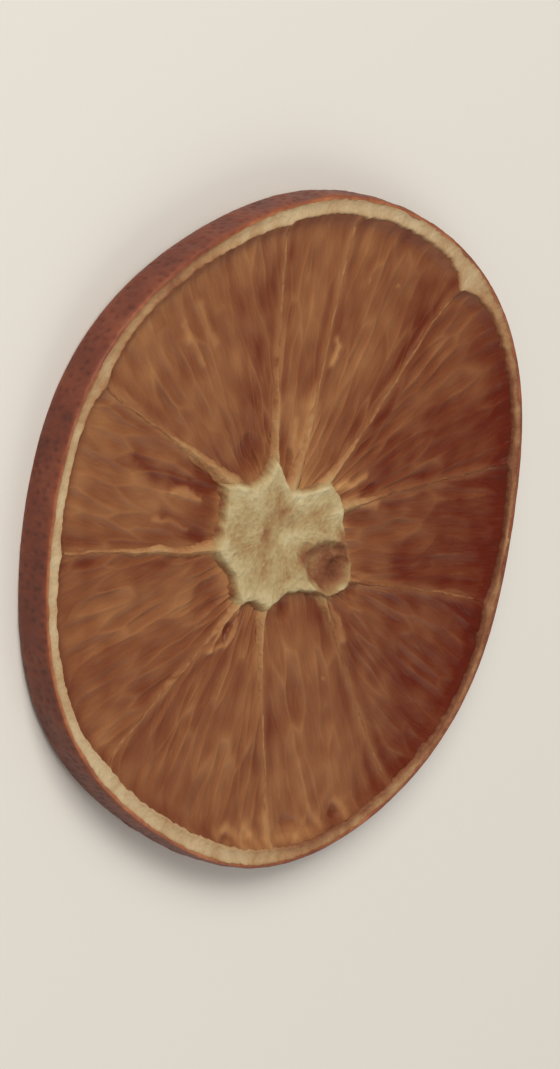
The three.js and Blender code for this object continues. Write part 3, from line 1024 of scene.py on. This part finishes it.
class Finish:
    """A material in the making: its Principled shader, and short ways to add nodes before it."""

    def __init__(self, name):
        self.material = bpy.data.materials.new(name)
        self.material.use_nodes = True
        tree = self.material.node_tree
        self.nodes, self.links = tree.nodes, tree.links
        self.shader = self.nodes["Principled BSDF"].inputs

    def feed(self, socket, value):
        if isinstance(value, bpy.types.NodeSocket):
            self.links.new(value, socket)
        else:
            socket.default_value = value

    def attribute(self, name, output):
        node = self.nodes.new("ShaderNodeAttribute")
        node.attribute_name = name
        return node.outputs[output]

    def place(self):
        return self.nodes.new("ShaderNodeTexCoord").outputs["Object"]

    def stretched(self, vector, scale):
        node = self.nodes.new("ShaderNodeMapping")
        node.inputs["Scale"].default_value = scale
        self.feed(node.inputs["Vector"], vector)
        return node.outputs["Vector"]

    def noise(self, vector, scale, detail):
        node = self.nodes.new("ShaderNodeTexNoise")
        node.inputs["Scale"].default_value = scale
        node.inputs["Detail"].default_value = detail
        self.feed(node.inputs["Vector"], vector)
        return node.outputs["Fac"]

    def math(self, operation, *values):
        node = self.nodes.new("ShaderNodeMath")
        node.operation = operation
        for socket, value in zip(node.inputs, values):
            self.feed(socket, value)
        return node.outputs[0]

    def varied(self, value, noise, amount):
        """The value moved up and down by half the amount, as the noise says."""
        centred = self.math("SUBTRACT", noise, 0.5)
        return self.math("ADD", value, self.math("MULTIPLY", centred, amount))

    def ramp(self, factor, stops):
        node = self.nodes.new("ShaderNodeValToRGB")
        elements = node.color_ramp.elements
        elements.remove(elements[1])
        for index, (place, colour) in enumerate(stops):
            element = elements.new(place) if index else elements[0]
            element.position, element.color = place, srgb(*colour)
        self.feed(node.inputs["Fac"], factor)
        return node.outputs["Color"]

    def bump(self, height, distance):
        node = self.nodes.new("ShaderNodeBump")
        node.inputs["Distance"].default_value = distance
        self.feed(node.inputs["Height"], height)
        return node.outputs["Normal"]

    def let_light_in(self, weight, colours, depth):
        self.shader["Subsurface Weight"].default_value = weight
        self.shader["Subsurface Radius"].default_value = colours
        self.shader["Subsurface Scale"].default_value = depth

    def dress(self, fine, broad, mottling, colours, roughness, bumps, shine):
        """Colour, roughness and fine bumps, from the tone of the mesh and two noises."""
        tone = self.varied(self.attribute("tone", "Fac"), fine, mottling[0])
        tone = self.varied(tone, broad, mottling[1])
        self.feed(self.shader["Base Color"], self.ramp(tone, colours))
        self.feed(self.shader["Roughness"], self.varied(roughness[0], fine, roughness[1]))
        self.feed(self.shader["Normal"], self.bump(fine, bumps))
        self.shader["Specular IOR Level"].default_value = shine

    def wear(self, *pieces):
        for piece in pieces:
            piece.data.materials.append(self.material)
        print(f"{self.material.name}: {len(pieces)} pieces")


# %% Dried flesh
ALONG_FIBRES = (1.0, 0.14, 1.0)
FLESH_COLOURS = [
    (0.0, (62, 22, 10)),
    (0.25, (97, 29, 9)),
    (0.5, (134, 82, 50)),
    (0.75, (164, 113, 71)),
    (1.0, (190, 144, 94)),
]


def finish_flesh(pieces):
    finish = Finish("dried_flesh")
    fibres = finish.stretched(finish.attribute("grain", "Vector"), ALONG_FIBRES)
    finish.dress(
        fine=finish.noise(fibres, scale=4.5, detail=4.0),
        broad=finish.noise(fibres, scale=0.7, detail=2.0),
        mottling=(0.1, 0.14),
        colours=FLESH_COLOURS,
        roughness=(0.42, 0.2),
        bumps=0.00006,
        shine=0.16,
    )
    finish.let_light_in(weight=0.2, colours=(1.0, 0.4, 0.2), depth=0.001)
    finish.wear(*pieces)


finish_flesh(flesh)

# %% Dried pith and membranes
STAR_COLOURS = [
    (0.0, (92, 46, 24)),
    (0.25, (134, 84, 54)),
    (0.5, (162, 130, 87)),
    (0.7, (181, 160, 116)),
    (1.0, (205, 190, 150)),
]
ALBEDO_COLOURS = [
    (0.0, (92, 46, 24)),
    (0.25, (136, 86, 56)),
    (0.5, (166, 126, 86)),
    (0.7, (182, 152, 113)),
    (1.0, (203, 182, 145)),
]
MEMBRANE_COLOURS = [
    (0.0, (88, 40, 20)),
    (0.3, (134, 80, 44)),
    (0.55, (168, 120, 77)),
    (0.8, (177, 143, 97)),
    (1.0, (198, 177, 133)),
]


def finish_pith(name, colours, pieces):
    finish = Finish(name)
    finish.dress(
        fine=finish.noise(finish.place(), scale=2600, detail=4.0),
        broad=finish.noise(finish.place(), scale=420, detail=2.0),
        mottling=(0.2, 0.16),
        colours=colours,
        roughness=(0.78, 0.12),
        bumps=0.00012,
        shine=0.3,
    )
    finish.let_light_in(weight=0.2, colours=(1.0, 0.75, 0.5), depth=0.0006)
    finish.wear(*pieces)


finish_pith("dried_albedo", ALBEDO_COLOURS, [albedo])
finish_pith("dried_star", STAR_COLOURS, [star])
finish_pith("dried_membrane", MEMBRANE_COLOURS, membranes)

# %% Dried peel
PEEL_COLOURS = [
    (0.0, (66, 26, 16)),
    (0.3, (108, 50, 32)),
    (0.6, (140, 76, 46)),
    (1.0, (182, 114, 72)),
]


def finish_peel(piece):
    finish = Finish("dried_peel")
    finish.dress(
        fine=finish.noise(finish.place(), scale=2400, detail=4.0),
        broad=finish.noise(finish.place(), scale=260, detail=3.0),
        mottling=(0.16, 0.3),
        colours=PEEL_COLOURS,
        roughness=(0.5, 0.2),
        bumps=0.00006,
        shine=0.4,
    )
    finish.let_light_in(weight=0.1, colours=(1.0, 0.4, 0.2), depth=0.0005)
    finish.wear(piece)


finish_peel(peel)

# %% [markdown]
# The slice lies on a plain pale floor under soft studio light: a large key light from the top of
# the picture, a weaker fill from the lower right, and an even grey all round. Lights that are
# large for their distance give soft shadows, and the low one draws out the relief.

# %% Floor and light
FLOOR_SIZE = 6.0


def make_floor():
    bpy.ops.mesh.primitive_plane_add(size=FLOOR_SIZE)
    floor = bpy.context.object
    floor.name = "floor"
    finish = Finish("pale_floor")
    finish.shader["Base Color"].default_value = srgb(228, 224, 217)
    finish.shader["Roughness"].default_value = 0.9
    finish.wear(floor)


def add_light(name, towards, distance, size, power, colour):
    light = bpy.data.lights.new(name, "AREA")
    light.size, light.energy, light.color = size, power, colour
    lamp = bpy.data.objects.new(name, light)
    lamp.location = Vector(towards).normalized() * distance
    lamp.rotation_mode = "QUATERNION"
    lamp.rotation_quaternion = Vector(towards).to_track_quat("Z", "Y")
    bpy.context.scene.collection.objects.link(lamp)
    print(f"{name}: {power} W")


def make_surroundings(colour, strength):
    world = bpy.data.worlds.new("studio")
    world.use_nodes = True
    background = world.node_tree.nodes["Background"].inputs
    background["Color"].default_value = (*colour, 1)
    background["Strength"].default_value = strength
    bpy.context.scene.world = world


make_floor()
add_light("key", (-0.35, 0.75, 0.75), distance=0.9, size=0.5, power=7.0, colour=(1.0, 0.96, 0.9))
add_light("fill", (0.35, -0.85, 0.75), distance=1.1, size=0.8, power=3.0, colour=(1.0, 0.97, 0.93))
make_surroundings(colour=(1.0, 0.98, 0.95), strength=0.3)
bpy.context.scene.view_settings.view_transform = "Standard"

# %% [markdown]
# The camera looks down on the slice from the side that shows in the photograph: from the left and
# a little from above the slice's own top, and turned so that this top is up in the picture. A long
# lens from 0.6 m keeps the wheel's shape true.

# %% Camera
TO_CAMERA = Vector((-0.697, 0.291, 0.655)).normalized()
PICTURE_RIGHT = Vector((0.6845, 0.0, 0.7285)).normalized()
CAMERA_DISTANCE = 0.62
VIEW_HEIGHT = 0.0983
SENSOR = 36.0


def make_camera():
    camera = bpy.data.objects.new("camera", bpy.data.cameras.new("camera"))
    picture_up = TO_CAMERA.cross(PICTURE_RIGHT)
    turned = Matrix((PICTURE_RIGHT, picture_up, TO_CAMERA)).transposed()
    centre = (cad_low + cad_high) / 2
    camera.matrix_world = Matrix.Translation(centre + TO_CAMERA * CAMERA_DISTANCE) @ turned.to_4x4()
    camera.data.sensor_width = SENSOR
    camera.data.lens = SENSOR * CAMERA_DISTANCE / VIEW_HEIGHT
    camera.data.clip_start = 0.01
    bpy.context.scene.collection.objects.link(camera)
    bpy.context.scene.camera = camera
    print("lens in mm:", round(camera.data.lens, 1))


make_camera()
